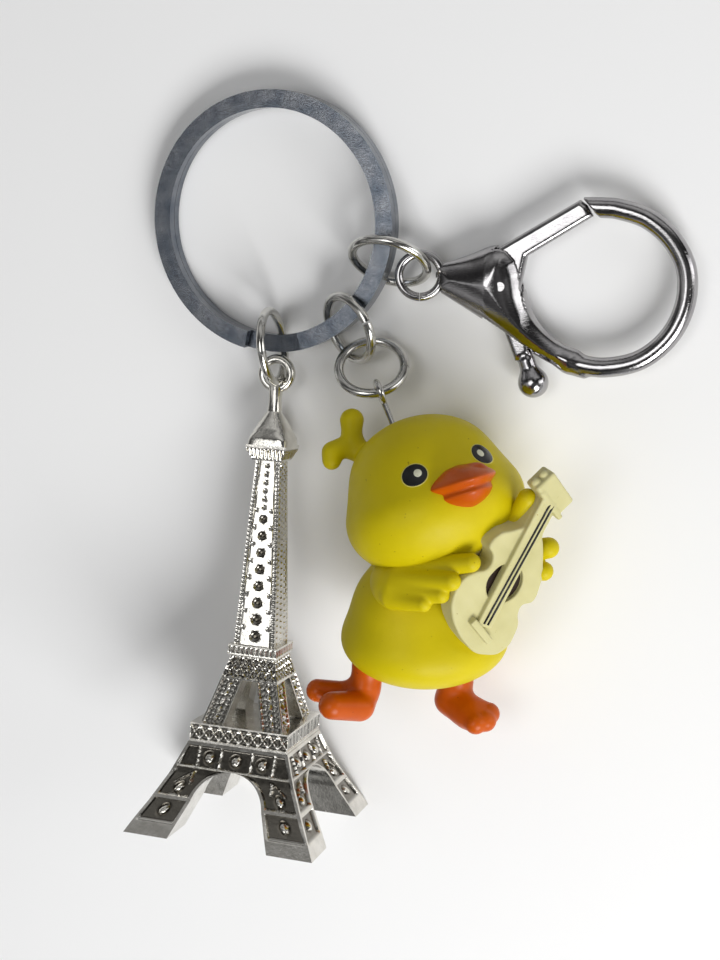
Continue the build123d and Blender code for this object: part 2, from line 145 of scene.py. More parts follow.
def vinyl(name, stops, roughness, speck, coat):
    """Moulded soft plastic with slightly cloudy paint and tiny specks."""
    material, tree, shader = new_material(name, IOR=1.3)
    shader.inputs["Subsurface Weight"].default_value = 0.06
    shader.inputs["Subsurface Radius"].default_value = (0.0012, 0.0009, 0.0003)
    shader.inputs["Coat Weight"].default_value = coat
    shader.inputs["Coat Roughness"].default_value = 0.3
    clouds = noise(tree, 160.0, 5.0)
    colour = ramp(tree, clouds, "Fac", stops)
    specks = noise(tree, 1900.0, 2.0, 0.5)
    dots = ramp(tree, specks, "Fac", ((0.0, speck), (0.235, speck), (0.26, grey(1.0))))
    mix = tree.nodes.new("ShaderNodeMix")
    mix.data_type = "RGBA"
    mix.blend_type = "MULTIPLY"
    mix.inputs["Factor"].default_value = 1.0
    tree.links.new(colour.outputs["Color"], mix.inputs["A"])
    tree.links.new(dots.outputs["Color"], mix.inputs["B"])
    tree.links.new(mix.outputs["Result"], shader.inputs["Base Color"])
    wear = noise(tree, 700.0, 6.0, 0.65)
    gloss = ramp(tree, wear, "Fac", ((0.3, grey(roughness - 0.07)), (0.75, grey(roughness + 0.08))))
    link(tree, gloss, "Color", shader, "Roughness")
    ripple = noise(tree, 420.0, 3.0)
    grain = noise(tree, 4200.0, 3.0)
    add_bump(tree, shader, ((ripple, 0.25, 0.00012), (grain, 0.15, 0.00003)))
    return material


def cast_nickel():
    """Bright plated casting, with painted shade darkening its colour where the relief is deep."""
    material, tree, shader = new_material("cast_nickel", Metallic=1.0)
    tint = ramp(tree, noise(tree, 520.0, 6.0), "Fac", ((0.3, (0.60, 0.58, 0.53)), (0.7, (0.80, 0.78, 0.73))))
    carved = tree.nodes.new("ShaderNodeAttribute")
    carved.attribute_name = "carved"
    # Painted shade: the colour falls towards a dark brown as the carve depth grows.
    painted_recess_shade = ramp(tree, carved, "Fac", ((0.02, grey(1.0)), (0.2, grey(0.42)), (0.4, (0.2, 0.185, 0.16))))
    mix = tree.nodes.new("ShaderNodeMix")
    mix.data_type = "RGBA"
    mix.blend_type = "MULTIPLY"
    mix.inputs["Factor"].default_value = 1.0
    tree.links.new(tint.outputs["Color"], mix.inputs["A"])
    tree.links.new(painted_recess_shade.outputs["Color"], mix.inputs["B"])
    tree.links.new(mix.outputs["Result"], shader.inputs["Base Color"])
    patches = noise(tree, 1100.0, 6.0, 0.7)
    gloss = ramp(tree, patches, "Fac", ((0.35, grey(0.12)), (0.7, grey(0.3))))
    link(tree, gloss, "Color", shader, "Roughness")
    grain = noise(tree, 2600.0, 4.0, 0.6)
    casting_skin = noise(tree, 700.0, 3.0)
    add_bump(tree, shader, ((grain, 0.35, 0.00005), (casting_skin, 0.3, 0.0001)))
    return material


NICKEL = cast_nickel()
# The clasp's chrome has its base colour darkened as a painted dark reflection of the room.
CHROME_PAINTED_DARK_REFLECTION = worn_chrome("dark_chrome", (0.33, 0.32, 0.33), (0.44, 0.43, 0.43), 0.03, 0.1, 0.25)
# The split ring's chrome is darker still: a painted dark reflection is set into its base colour.
RING_CHROME = worn_chrome("ring_chrome", (0.11, 0.13, 0.16), (0.24, 0.25, 0.27), 0.05, 0.16, 0.6)
LINK_CHROME = worn_chrome("link_chrome", (0.52, 0.51, 0.48), (0.70, 0.69, 0.66), 0.08, 0.22, 0.2)
STEEL = worn_chrome("spring_steel", (0.42, 0.42, 0.42), (0.55, 0.55, 0.55), 0.2, 0.35, 0.4)
YELLOW = vinyl("yellow_vinyl", ((0.3, (0.53, 0.43, 0.0)), (0.7, (0.60, 0.49, 0.0))),
               0.5, (0.6, 0.55, 0.5), 0.0)
ORANGE = vinyl("orange_vinyl", ((0.3, (0.44, 0.066, 0.0)), (0.7, (0.54, 0.094, 0.0))),
               0.36, (0.5, 0.4, 0.4), 0.06)
CREAM = vinyl("cream_vinyl", ((0.3, (0.50, 0.465, 0.22)), (0.7, (0.58, 0.54, 0.28))),
              0.5, (0.6, 0.5, 0.35), 0.03)
BLACK = vinyl("black_paint", ((0.3, (0.004, 0.004, 0.004)), (0.7, (0.012, 0.012, 0.012))),
              0.22, (0.6, 0.6, 0.6), 0.4)
WHITE = vinyl("white_paint", ((0.3, (0.62, 0.62, 0.46)), (0.7, (0.72, 0.72, 0.56))),
              0.4, (0.7, 0.7, 0.6), 0.1)
PALE_RIM = vinyl("pale_rim", ((0.3, (0.62, 0.55, 0.10)), (0.7, (0.70, 0.62, 0.14))),
                 0.4, (0.7, 0.7, 0.5), 0.1)
HOLE_BROWN = vinyl("hole_brown", ((0.3, (0.012, 0.006, 0.004)), (0.7, (0.035, 0.016, 0.012))),
                   0.35, (0.7,) * 3, 0.2)


# ---------------------------------------------------------------- mesh tools

def add_piece(name, points, faces, matrix, body, materials, replaces=(), sharp_deg=None):
    """Mesh piece from local millimetre points, placed in the part's frame."""
    mesh = bpy.data.meshes.new(name)
    local = np.asarray(points, float)
    world = np.array(matrix)
    placed = (local @ world[:3, :3].T + world[:3, 3]) * MM
    mesh.from_pydata(placed.tolist(), [], [tuple(int(i) for i in face) for face in faces])
    for material in materials:
        mesh.materials.append(material)
    mesh.shade_smooth()
    if sharp_deg is not None:
        mesh.set_sharp_from_angle(angle=math.radians(sharp_deg))
    mesh.validate()
    piece = bpy.data.objects.new(name, mesh)
    bpy.context.scene.collection.objects.link(piece)
    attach(piece, body)
    if replaces:
        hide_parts(*replaces)
    return piece


def gradient(field, points, reach=0.02):
    columns = []
    for axis in range(3):
        offset = np.zeros(3)
        offset[axis] = reach
        columns.append((field(points + offset) - field(points - offset)) / (2 * reach))
    return np.stack(columns, 1)


def onto(field, points, height=0.0, rounds=3):
    """Moves points along the field's gradient to the surface at that height."""
    for _ in range(rounds):
        slope = gradient(field, points)
        size = np.maximum((slope * slope).sum(1), 0.05)
        points = points - slope * ((field(points) - height) / size)[:, None]
    return points


def surface_net(field, low, high, step):
    """Closed quad mesh where the field changes sign: one point in each crossed cell."""
    low = np.array(low, float)
    counts = np.ceil((np.array(high, float) - low) / step).astype(int) + 1
    value = field(low + step * np.indices(counts).reshape(3, -1).T).reshape(counts)
    total = np.zeros((*(counts - 1), 3))
    hits = np.zeros(counts - 1)
    quads = []
    for axis in range(3):
        near = value[tuple(slice(0, -1) if k == axis else slice(None) for k in range(3))]
        far = value[tuple(slice(1, None) if k == axis else slice(None) for k in range(3))]
        edge = np.argwhere((near < 0) != (far < 0))
        start = near[tuple(edge.T)]
        end = far[tuple(edge.T)]
        point = low + step * edge.astype(float)
        point[:, axis] += step * start / (start - end)
        others = [k for k in range(3) if k != axis]
        corners = []
        for shift in ((0, 0), (-1, 0), (-1, -1), (0, -1)):
            cell = edge.copy()
            cell[:, others] += np.array(shift)
            np.add.at(total, tuple(cell.T), point)
            np.add.at(hits, tuple(cell.T), 1)
            corners.append(np.ravel_multi_index(tuple(cell.T), counts - 1))
        quad = np.stack(corners, 1)
        turned = (start < 0) == (axis == 1)
        quad[turned] = quad[turned][:, ::-1]
        quads.append(quad)
    used = np.flatnonzero(hits.ravel())
    number = np.full(hits.size, -1)
    number[used] = np.arange(len(used))
    points = total.reshape(-1, 3)[used] / hits.ravel()[used][:, None]
    return onto(field, points, rounds=2), number[np.concatenate(quads)]


def ball(points, centre, radii):
    """Signed distance to an ellipsoid, near enough by its surface."""
    offset = points - np.array(centre)
    radii = np.array(radii, float)
    first = np.linalg.norm(offset / radii, axis=1)
    second = np.linalg.norm(offset / radii ** 2, axis=1)
    return first * (first - 1.0) / np.maximum(second, 1e-9)


def rod(points, start, end, start_radius, end_radius):
    """Signed distance to a round rod that tapers from one ball to another."""
    start = np.array(start, float)
    span = np.array(end, float) - start
    offset = points - start
    along = np.clip(offset @ span / (span @ span), 0.0, 1.0)
    radius = start_radius + (end_radius - start_radius) * along
    return np.linalg.norm(offset - along[:, None] * span, axis=1) - radius


def chain(points, balls, softness):
    """Rods through a list of (point, radius), softly joined."""
    total = None
    for (start, start_radius), (end, end_radius) in zip(balls, balls[1:]):
        part = rod(points, start, end, start_radius, end_radius)
        total = part if total is None else soft_union(total, part, softness)
    return total


def soft_union(first, second, softness):
    overlap = np.maximum(softness - np.abs(first - second), 0.0) / softness
    return np.minimum(first, second) - overlap * overlap * softness / 4.0


def soft_cut(first, second, softness):
    """First with second taken away."""
    return -soft_union(-first, second, softness)


def box_distance(points, centre, half, rounding=0.0):
    reach = np.abs(points - np.array(centre)) - (np.array(half, float) - rounding)
    outside = np.linalg.norm(np.maximum(reach, 0.0), axis=1)
    return outside + np.minimum(reach.max(1), 0.0) - rounding


# ---------------------------------------------------------------- duckling

def head_field(points):
    crown = ball(points, (-0.2, 0.6, 1.6), (8.3, 8.1, 6.5))
    cheeks = ball(points, (-0.25, -0.2, -2.5), (10.1, 9.4, 7.0))
    return soft_union(crown, cheeks, 1.8)


def tuft_field(points):
    upper = chain(points, (((-5.0, 4.0, 5.4), 1.2), ((-5.9, 4.5, 7.6), 1.0), ((-5.2, 4.6, 9.7), 1.35)), 0.9)
    side = chain(points, (((-5.4, 4.2, 5.8), 1.1), ((-7.2, 4.6, 7.1), 0.95), ((-8.4, 4.65, 6.9), 1.0),
                          ((-8.75, 4.6, 6.0), 1.05)), 0.7)
    return soft_union(upper, side, 0.35)


def full_head_field(points):
    return soft_union(head_field(points), tuft_field(points), 0.5)


def facetted(points, centre, radii, power):
    """Ellipsoid pinched towards its axes, so that it has soft ridges and pointed corners."""
    offset = np.abs(points - np.array(centre)) / np.array(radii, float)
    return ((offset ** power).sum(1) ** (1.0 / power) - 1.0) * min(radii)


def beak_field(points):
    """Short bill: a wide upper half with a ridge, a narrower lower half, and a crease between."""
    upper = facetted(points, (0.85, -7.9, -0.35), (3.95, 4.7, 1.8), 1.5)
    lower = facetted(points, (0.8, -7.9, -1.6), (3.2, 4.1, 1.85), 1.55)
    bill = soft_union(upper, lower, 0.3)
    for x in (-0.2, 2.4):
        bill = soft_union(bill, ball(points, (x, -9.1, 0.4), (0.9, 1.0, 0.7)), 0.7)
    return bill


def body_field(points):
    belly = ball(points, (0.0, 0.0, 0.5), (9.6, 8.8, 5.1))
    chest = ball(points, (-0.2, 0.0, 4.6), (8.2, 7.1, 6.2))
    neck = rod(points, (0, 0, 4), (0, 0, 11), 5.0, 4.8)
    return soft_union(soft_union(belly, chest, 2.6), neck, 2.5)


def right_wing_field(points):
    """Three feathers and a short fourth one, spread like fingers from the shoulder."""
    feathers = (
        ((-4.6, -5.0, 10.9), 1.7, (0.5, -10.8, 13.4), 1.02),
        ((-5.2, -5.2, 9.9), 1.8, (-1.6, -10.8, 11.5), 1.0),
        ((-5.6, -5.4, 9.1), 1.7, (-2.5, -10.3, 9.9), 0.9),
        ((-5.9, -5.4, 8.3), 1.6, (-4.1, -9.4, 8.7), 0.85))
    wing = ball(points, (-5.6, -3.6, 8.9), (2.2, 3.2, 2.7))
    for start, start_radius, end, end_radius in feathers:
        wing = soft_union(wing, rod(points, start, end, start_radius, end_radius), 0.32)
    return wing


def left_wing_field(points):
    arm = rod(points, (5.6, -2.6, 6.8), (9.0, -7.4, 12.4), 2.2, 1.5)
    thumb_balls = (((6.6, -6.0, 12.6), 1.5), ((6.8, -8.0, 16.4), 1.25), ((7.3, -9.3, 19.4), 1.1))
    thumb = chain(points, thumb_balls, 0.8)
    first = rod(points, (8.8, -7.2, 12.6), (10.3, -9.0, 13.45), 1.3, 1.15)
    second = rod(points, (8.4, -6.8, 11.2), (9.9, -9.0, 10.8), 1.2, 1.05)
    wing = soft_union(soft_union(arm, thumb, 1.0), first, 0.4)
    return soft_union(wing, second, 0.3)


def right_foot_field(points):
    leg = chain(points, (((-6.5, 0.6, -2.6), 1.9), ((-6.95, 0.4, -5.2), 1.6), ((-7.25, 0.3, -6.9), 1.6)), 1.0)
    rear = rod(points, (-8.0, 1.2, -6.4), (-12.1, 1.8, -5.5), 1.55, 1.3)
    front = rod(points, (-8.0, -0.9, -6.7), (-11.6, -2.1, -5.6), 1.75, 1.55)
    sole = soft_union(soft_union(leg, rear, 1.2), front, 0.6)
    return soft_cut(sole, 9.1 + points[:, 2], 0.4)


def left_foot_field(points):
    leg = chain(points, (((4.3, 0.6, -3.4), 2.0), ((4.3, 0.4, -5.8), 1.75), ((4.1, 0.3, -7.9), 1.8)), 1.0)
    heel = rod(points, (3.7, 0.6, -8.3), (4.9, -2.2, -8.7), 1.7, 1.9)
    toes = None
    for end in ((4.9, -4.3, -9.0), (6.1, -4.2, -8.9), (6.9, -3.3, -8.6)):
        toe = rod(points, (4.7, -1.6, -8.5), end, 1.6, 1.3)
        toes = toe if toes is None else soft_union(toes, toe, 0.3)
    return soft_union(soft_union(leg, heel, 1.2), toes, 0.8)


def sculpt(name, field, low, high, step, matrix, body, material, replaces):
    points, quads = surface_net(field, low, high, step)
    return add_piece(name, points, quads, matrix, body, [material], replaces)


def patch(name, centre, half_width, half_height, lift, dome, matrix, materials):
    """Thin domed spot of paint laid on the head."""
    start = onto(head_field, np.array([centre], float), rounds=6)[0]
    out = gradient(head_field, start[None])[0]
    out /= np.linalg.norm(out)
    across = np.cross((0.0, 0.0, 1.0), out)
    across /= np.linalg.norm(across)
    up = np.cross(out, across)
    rings, spokes = 14, 48
    points = [onto(head_field, start[None], lift + dome)[0]]
    for ring in range(1, rings + 1):
        share = ring / rings
        for spoke in range(spokes):
            angle = 2 * math.pi * spoke / spokes
            offset = across * half_width * math.cos(angle) + up * half_height * math.sin(angle)
            height = lift + dome * (1 - share ** 2)
            points.append(onto(head_field, (start + offset * share)[None], height)[0])
    for spoke in range(spokes):
        points.append(onto(head_field, points[1 + (rings - 1) * spokes + spoke][None], -0.15)[0])
    points.append(onto(head_field, start[None], -0.15)[0])
    faces = [(0, 1 + s, 1 + (s + 1) % spokes) for s in range(spokes)]
    for ring in range(rings):
        a, b = 1 + ring * spokes, 1 + (ring + 1) * spokes
        faces += [(a + s, b + s, b + (s + 1) % spokes, a + (s + 1) % spokes) for s in range(spokes)]
    last = 1 + rings * spokes
    faces += [(len(points) - 1, last + (s + 1) % spokes, last + s) for s in range(spokes)]
    return add_piece(name, points, faces, matrix, "duck", materials)


DUCK_PIECES = (
    ("head", full_head_field, (-11.5, -10.8, -10), (11.2, 10.8, 12.2), 0.24, HEAD, "yellow_vinyl"),
    ("beak", beak_field, (-4.6, -13.6, -4.8), (6.2, -2.6, 2.8), 0.12, HEAD, "orange_vinyl"),
    ("body", body_field, (-10, -10, -7.5), (10, 10, 17), 0.26, DUCK, "yellow_vinyl"),
    ("right_wing", right_wing_field, (-9.8, -12.8, 4.5), (2.6, 0.8, 15.6), 0.16, DUCK, "yellow_vinyl"),
    ("left_wing", left_wing_field, (2.5, -11.5, 3.6), (12.6, 0.5, 21.2), 0.18, DUCK, "yellow_vinyl"),
    ("right_foot", right_foot_field, (-14.8, -4.5, -9.8), (-3.6, 4.2, -0.2), 0.17, DUCK, "orange_vinyl"),
    ("left_foot", left_foot_field, (0.6, -7.2, -11.4), (9.6, 3.6, -0.6), 0.17, DUCK, "orange_vinyl"),
)
VINYLS = {"yellow_vinyl": YELLOW, "orange_vinyl": ORANGE}
EYE_SPREAD = 4.75


def build_duck():
    for name, field, low, high, step, matrix, slot in DUCK_PIECES:
        node = "duck_" + name
        sculpt(node + "_vinyl", field, low, high, step, matrix, "duck", VINYLS[slot], [node])
    for side, sign in (("right", -1), ("left", 1)):
        centre = np.array((0.7 + sign * EYE_SPREAD, -8.4, 2.5 + sign * 0.3))
        patch("duck_" + side + "_eye_rim", centre, 1.5, 1.38, 0.0, 0.05, HEAD, [PALE_RIM])
        patch("duck_" + side + "_eye", centre, 1.38, 1.27, 0.03, 0.12, HEAD, [BLACK])
        spot = centre + np.array((-sign * 0.42, 0.0, 0.0))
        patch("duck_" + side + "_eye_spot", spot, 0.46, 0.46, 0.13, 0.07, HEAD, [WHITE])


# ---------------------------------------------------------------- guitar

GUITAR_OUTLINE = (
    (0.3, -6.35), (2.0, -6.3), (3.3, -5.8), (4.15, -4.8), (4.4, -3.4), (4.05, -1.9), (3.4, -0.9), (3.25, 0.2),
    (4.35, 0.85), (4.5, 1.9), (4.2, 3.2), (3.75, 4.5), (2.6, 6.2), (1.4, 7.9), (-0.4, 8.9), (-1.8, 8.2),
    (-2.9, 7.5), (-4.0, 6.9), (-4.65, 5.9), (-4.6, 5.0), (-3.75, 4.4), (-3.35, 3.5), (-3.65, 2.6),
    (-4.6, 2.1),
    (-5.6, 1.2), (-6.0, 0.0), (-5.9, -1.3), (-5.3, -2.7), (-3.9, -4.2), (-1.7, -5.6))
GUITAR_BODY_DEPTH = 2.5
STRIP_X = -0.67
STRIP_HALF = 1.0
STRIP_LOW = -3.2
STRIP_HIGH = 11.9
ACROSS = Vector((0.91, -0.415, 0.0))
HOLE_CENTRE = (-0.45, 1.9)
HOLE_RADIUS = 2.3


def catmull_rom(before, start, end, after, t):
    """Point at share t of the smooth span from start to end."""
    bend = 2 * before - 5 * start + 4 * end - after
    twist = 3 * start - before - 3 * end + after
    return 0.5 * (2 * start + (end - before) * t + bend * t * t + twist * t ** 3)


def closed_curve(points, steps):
    """Smooth curve through the points, closed."""
    points = np.array(points, float)
    before, after, beyond = np.roll(points, 1, 0), np.roll(points, -1, 0), np.roll(points, -2, 0)
    rows = [catmull_rom(before, points, after, beyond, step / steps) for step in range(steps)]
    return np.stack(rows, 1).reshape(-1, 2)


def open_curve(points, steps):
    """Smooth curve through the points, ends included."""
    points = np.array(points, float)
    padded = np.concatenate([[2 * points[0] - points[1]], points, [2 * points[-1] - points[-2]]])
    rows = [catmull_rom(*padded[index:index + 4], step / steps)
            for index in range(len(points) - 1) for step in range(steps)]
    return np.array(rows + [points[-1]])


def polygon_distance(points, corners):
    """Signed distance in the plane to a closed polygon, negative inside."""
    nearest = np.full(len(points), 1e9)
    inside = np.zeros(len(points), bool)
    for start, end in zip(corners, np.roll(corners, -1, 0)):
        span = end - start
        offset = points - start
        along = np.clip(offset @ span / (span @ span), 0, 1)
        nearest = np.minimum(nearest, ((offset - along[:, None] * span) ** 2).sum(1))
        crosses = (start[1] > points[:, 1]) != (end[1] > points[:, 1])
        if crosses.any():
            at = start[0] + (points[:, 1] - start[1]) * span[0] / (span[1] if span[1] else 1e-9)
            inside ^= crosses & (points[:, 0] < at)
    return np.where(inside, -1, 1) * np.sqrt(nearest)


def path_distance(points, path):
    """Distance in the plane to an open curve."""
    nearest = np.full(len(points), 1e9)
    for start, end in zip(path, path[1:]):
        span = end - start
        offset = points - start
        along = np.clip(offset @ span / (span @ span), 0, 1)
        nearest = np.minimum(nearest, ((offset - along[:, None] * span) ** 2).sum(1))
    return np.sqrt(nearest)


class LatticeField:
    """A distance in the plane kept on a fine lattice and read back by interpolation."""

    def __init__(self, distance, curve, low, high, step):
        self.low, self.step = np.array(low, float), step
        self.counts = np.ceil((np.array(high) - self.low) / step).astype(int) + 1
        lattice = self.low + step * np.indices(self.counts).reshape(2, -1).T
        self.value = distance(lattice, curve).reshape(self.counts)

    def __call__(self, points):
        place = np.clip((points - self.low) / self.step, 0, self.counts - 1.001)
        cell = place.astype(int)
        share = place - cell
        i, j = cell.T
        s, t = share.T
        v = self.value
        return ((1 - s) * (1 - t) * v[i, j] + s * (1 - t) * v[i + 1, j]
                + (1 - s) * t * v[i, j + 1] + s * t * v[i + 1, j + 1])


def extruded(flat, z, low, high, rounding):
    """Distance to an outline pulled between two heights, with rounded rims."""
    reach = np.abs(z - (low + high) / 2) - (high - low) / 2 + rounding
    side = flat + rounding
    outside = np.sqrt(np.maximum(reach, 0) ** 2 + np.maximum(side, 0) ** 2)
    return outside + np.minimum(np.maximum(reach, side), 0) - rounding


def slanted_box(points, centre, half, rounding):
    """Box whose long side runs along the guitar's slanted cross direction."""
    offset = points - np.array(centre)
    across = np.array(ACROSS[:2])
    along = np.array((-across[1], across[0]))
    local = np.stack([offset[:, :2] @ across, offset[:, :2] @ along, offset[:, 2]], 1)
    return box_distance(local, (0, 0, 0), half, rounding)


guitar_outline_field = LatticeField(polygon_distance, closed_curve(GUITAR_OUTLINE, 6), (-8, -8), (7, 11), 0.1)


def guitar_field(points):
    x, y, z = points.T
    hand_wave = 0.06 * np.sin(1.9 * x + 0.7) * np.sin(1.4 * y) + 0.04 * np.sin(3.1 * y + 1.3 * x)
    body = extruded(guitar_outline_field(points[:, :2]), z, -GUITAR_BODY_DEPTH, 0.0, 0.22) + hand_wave * 0.4
    hole = np.hypot(x - HOLE_CENTRE[0], y - HOLE_CENTRE[1]) - HOLE_RADIUS
    body = soft_cut(body, np.maximum(hole, -0.5 - z), 0.12)
    neck = box_distance(points, (-0.28, 9.6, -0.8), (1.45, 2.6, 0.85), 0.3)
    strip_middle = (STRIP_LOW + STRIP_HIGH) / 2
    strip_half = (STRIP_HALF, (STRIP_HIGH - STRIP_LOW) / 2, 0.5)
    strip = box_distance(points, (STRIP_X, strip_middle, 0.05), strip_half, 0.14)
    bridge = slanted_box(points, (-0.75, -3.75, 0.25), (1.95, 0.42, 0.5), 0.16)
    total = soft_union(body, neck, 0.4)
    total = soft_union(total, strip, 0.1)
    total = soft_union(total, bridge, 0.12)
    head = slanted_box(points, (-0.35, 12.8, -0.55), (2.4, 1.3, 1.1), 0.3)
    nut = slanted_box(points, (-0.2, 11.6, 0.2), (2.2, 0.3, 0.45), 0.18)
    total = soft_union(total, soft_union(head, nut, 0.2), 0.2)
    for step in (-0.7, 0.45):
        side = np.array((-0.35, 12.8)) - 2.4 * np.array(ACROSS[:2]) + step * np.array((0.415, 0.91))
        peg = ball(points, (*side, -0.35), (0.62, 0.5, 0.5))
        total = soft_union(total, peg, 0.15)
    return total + 0.35 * hand_wave * 0.3


def flat_disc(name, centre, radius, height, matrix, body, material):
    spokes = 48
    angles = [2 * math.pi * spoke / spokes for spoke in range(spokes)]
    points = [(*centre, height)]
    for share in (0.5, 1.0):
        points += [(centre[0] + share * radius * math.cos(angle), centre[1] + share * radius * math.sin(angle),
                    height - 0.04 * share) for angle in angles]
    faces = [(0, 1 + s, 1 + (s + 1) % spokes) for s in range(spokes)]
    faces += [(1 + s, 1 + spokes + s, 1 + spokes + (s + 1) % spokes, 1 + (s + 1) % spokes)
              for s in range(spokes)]
    return add_piece(name, points, faces, matrix, body, [material])


def tube(path, radius, sides=10):
    """Round tube along a list of points, capped at both ends."""
    path = np.array(path, float)
    forward = np.gradient(path, axis=0)
    forward /= np.linalg.norm(forward, axis=1)[:, None]
    guide = np.array((0.0, 0.0, 1.0)) if abs(forward[0, 2]) < 0.9 else np.array((1.0, 0.0, 0.0))
    points, faces = [], []
    for place, way in zip(path, forward):
        first = np.cross(way, guide)
        first /= np.linalg.norm(first)
        second = np.cross(way, first)
        for side in range(sides):
            angle = 2 * math.pi * side / sides
            points.append(place + radius * (math.cos(angle) * first + math.sin(angle) * second))
    for span in range(len(path) - 1):
        a, b = span * sides, (span + 1) * sides
        faces += [(a + s, a + (s + 1) % sides, b + (s + 1) % sides, b + s) for s in range(sides)]
    faces.append(tuple(range(sides)))
    faces.append(tuple(reversed(range(len(points) - sides, len(points)))))
    return points, faces


def build_guitar():
    sculpt("guitar_moulding", guitar_field, (-6.8, -7.2, -3.2), (5.2, 15.4, 1.6), 0.13, GUITAR, "duck",
           CREAM, ["guitar"])
    flat_disc("guitar_sound_hole", HOLE_CENTRE, HOLE_RADIUS - 0.05, -0.42, GUITAR, "duck",
              HOLE_BROWN)
    for index, (low_x, high_x) in enumerate(((-0.95, -0.5), (-0.4, 0.02))):
        path = [(low_x + (high_x - low_x) * t, STRIP_LOW + 0.35 + (STRIP_HIGH - STRIP_LOW - 0.6) * t, 0.56)
                for t in (i / 12 for i in range(13))]
        points, faces = tube(path, 0.13)
        add_piece("guitar_string_%d" % (index + 1), points, faces, GUITAR, "duck", [BLACK])


# ---------------------------------------------------------------- lattice tower

BASE_PROFILE = ((0.0, 11.4), (1.5, 10.55), (3.6, 9.25), (6.6, 7.6), (10.1, 6.1))
ARCH_FOOT = 6.0
ARCH_SHOULDER = (4.35, 3.9)
ARCH_TOP = 7.4
DECK_1 = (10.0, 12.36, 6.0)
MID_PROFILE = ((12.16, 5.05), (20.3, 2.6))
MID_GAP = ((12.36, 2.3), (17.4, 0.9))
DECK_2 = (20.2, 21.4, 3.0)
SHAFT_PROFILE = ((21.2, 2.5), (43.3, 1.44))
CAP_BAND = (43.1, 44.9)
CAP_PROFILE = ((43.1, 1.75), (44.4, 2.4), (44.9, 2.45))
DOME_PROFILE = ((44.9, 2.45), (45.7, 2.4), (46.9, 1.98), (48.0, 1.35), (49.0, 0.75))
DOME_SQUARENESS = ((44.9, 9.0), (46.5, 3.2), (49.0, 2.0))
NECK = (48.8, 51.7)
NECK_RADIUS = 0.85
EYE_MEAN_RADIUS = 1.7
EYE_WIRE_RADIUS = 0.56
SEAT = 0.1
EYE_HEIGHT = 53.2
LARGE_PITS = [(22.5 + 1.97 * k, 0.66 - 0.022 * k) for k in range(8)]
SMALL_PITS = [(37.65 + 0.97 * k, 0.3) for k in range(6)]


def profile(levels):
    heights = [level[0] for level in levels]
    halves = [level[1] for level in levels]
    return lambda z: float(np.interp(z, heights, halves))


def smooth_step(value, low, high):
    share = np.clip((value - low) / (high - low), 0.0, 1.0)
    return share * share * (3 - 2 * share)


def hollow(u, z, centre, radius, depth):
    reach = ((u - centre[0]) ** 2 + (z - centre[1]) ** 2) / radius ** 2
    return depth * np.sqrt(np.maximum(1.0 - reach, 0.0))


def relief_column(levels, centre, half, relief, cells, sides=(0, 1, 2, 3), squareness=None):
    """Square column whose sides are carved by relief(side, u, half, z), in millimetres inward."""
    points, carved = [], []
    share = -1.0 + 2.0 * np.arange(cells) / cells
    for z in levels:
        reach = half(z)
        cx, cy = centre(z)
        for side in range(4):
            u = share * reach
            depth = relief(side, u, reach, z) if side in sides else np.zeros(cells)
            depth = depth * smooth_step(reach - np.abs(u), 0.0, 0.12)
            out = reach - depth
            x, y = ((u, -out), (out, u), (-u, out), (-out, -u))[side]
            if squareness is not None:
                power = squareness(z)
                size = (np.abs(x / reach) ** power + np.abs(y / reach) ** power) ** (1.0 / power)
                x, y = x / size, y / size
            points.append(np.stack([cx + x, cy + y, np.full(cells, z)], 1))
            carved.append(depth)
    points = np.concatenate(points)
    carved = np.concatenate(carved)
    loop = 4 * cells
    faces = []
    for level in range(len(levels) - 1):
        a, b = level * loop, (level + 1) * loop
        faces += [(a + k, a + (k + 1) % loop, b + (k + 1) % loop, b + k) for k in range(loop)]
    top = (len(levels) - 1) * loop
    ends = np.array([(*centre(levels[0]), levels[0]), (*centre(levels[-1]), levels[-1])])
    low_end, high_end = len(points), len(points) + 1
    faces += [(low_end, (k + 1) % loop, k) for k in range(loop)]
    faces += [(high_end, top + k, top + (k + 1) % loop) for k in range(loop)]
    return np.concatenate([points, ends]), faces, np.concatenate([carved, np.zeros(2)])


def framed_panels(u, half, z, panels, frame_width, depth):
    """Recessed panels between a frame along both edges and bars across."""
    inside = smooth_step(half - np.abs(u), frame_width, frame_width + 0.12)
    window = 0.0
    for low, high in panels:
        window = max(window, smooth_step(z, low, low + 0.12) * (1 - smooth_step(z, high - 0.12, high)))
    return depth * inside * window


def boss(u, z, centre, radius, height):
    """A raised round stud in a ring-shaped groove."""
    distance = np.hypot(u - centre[0], z - centre[1])
    groove = 0.1 * np.exp(-((distance - radius * 1.15) / 0.09) ** 2)
    return groove - height * np.sqrt(np.maximum(1.0 - (distance / radius) ** 2, 0.0))


def base_relief(side, u, half, z):
    depth = framed_panels(u, half, z, ((1.5, 3.9), (4.25, 7.4)), 0.42, 0.34)
    depth = depth + boss(u, z, (0.0, 2.7), 0.5, 0.42) + boss(u, z, (0.0, 5.1), 0.46, 0.42)
    brace = np.abs(np.abs(u) - 0.75 * (6.9 - z)) < 0.14
    return np.where(brace & (z > 5.6) & (z < 7.0), 0.02, depth)


def spandrel_relief(side, u, half, z):
    depth = framed_panels(u, half, z, ((7.45, 9.75),), 0.4, 0.34)
    for line in (1.9, 4.6):
        depth = depth * (1 - 0.9 * np.exp(-((np.abs(u) - line) / 0.14) ** 4))
    for place in (0.0, 3.25):
        depth = depth + boss(np.abs(u), z, (place, 8.5), 0.55, 0.42)
    return depth


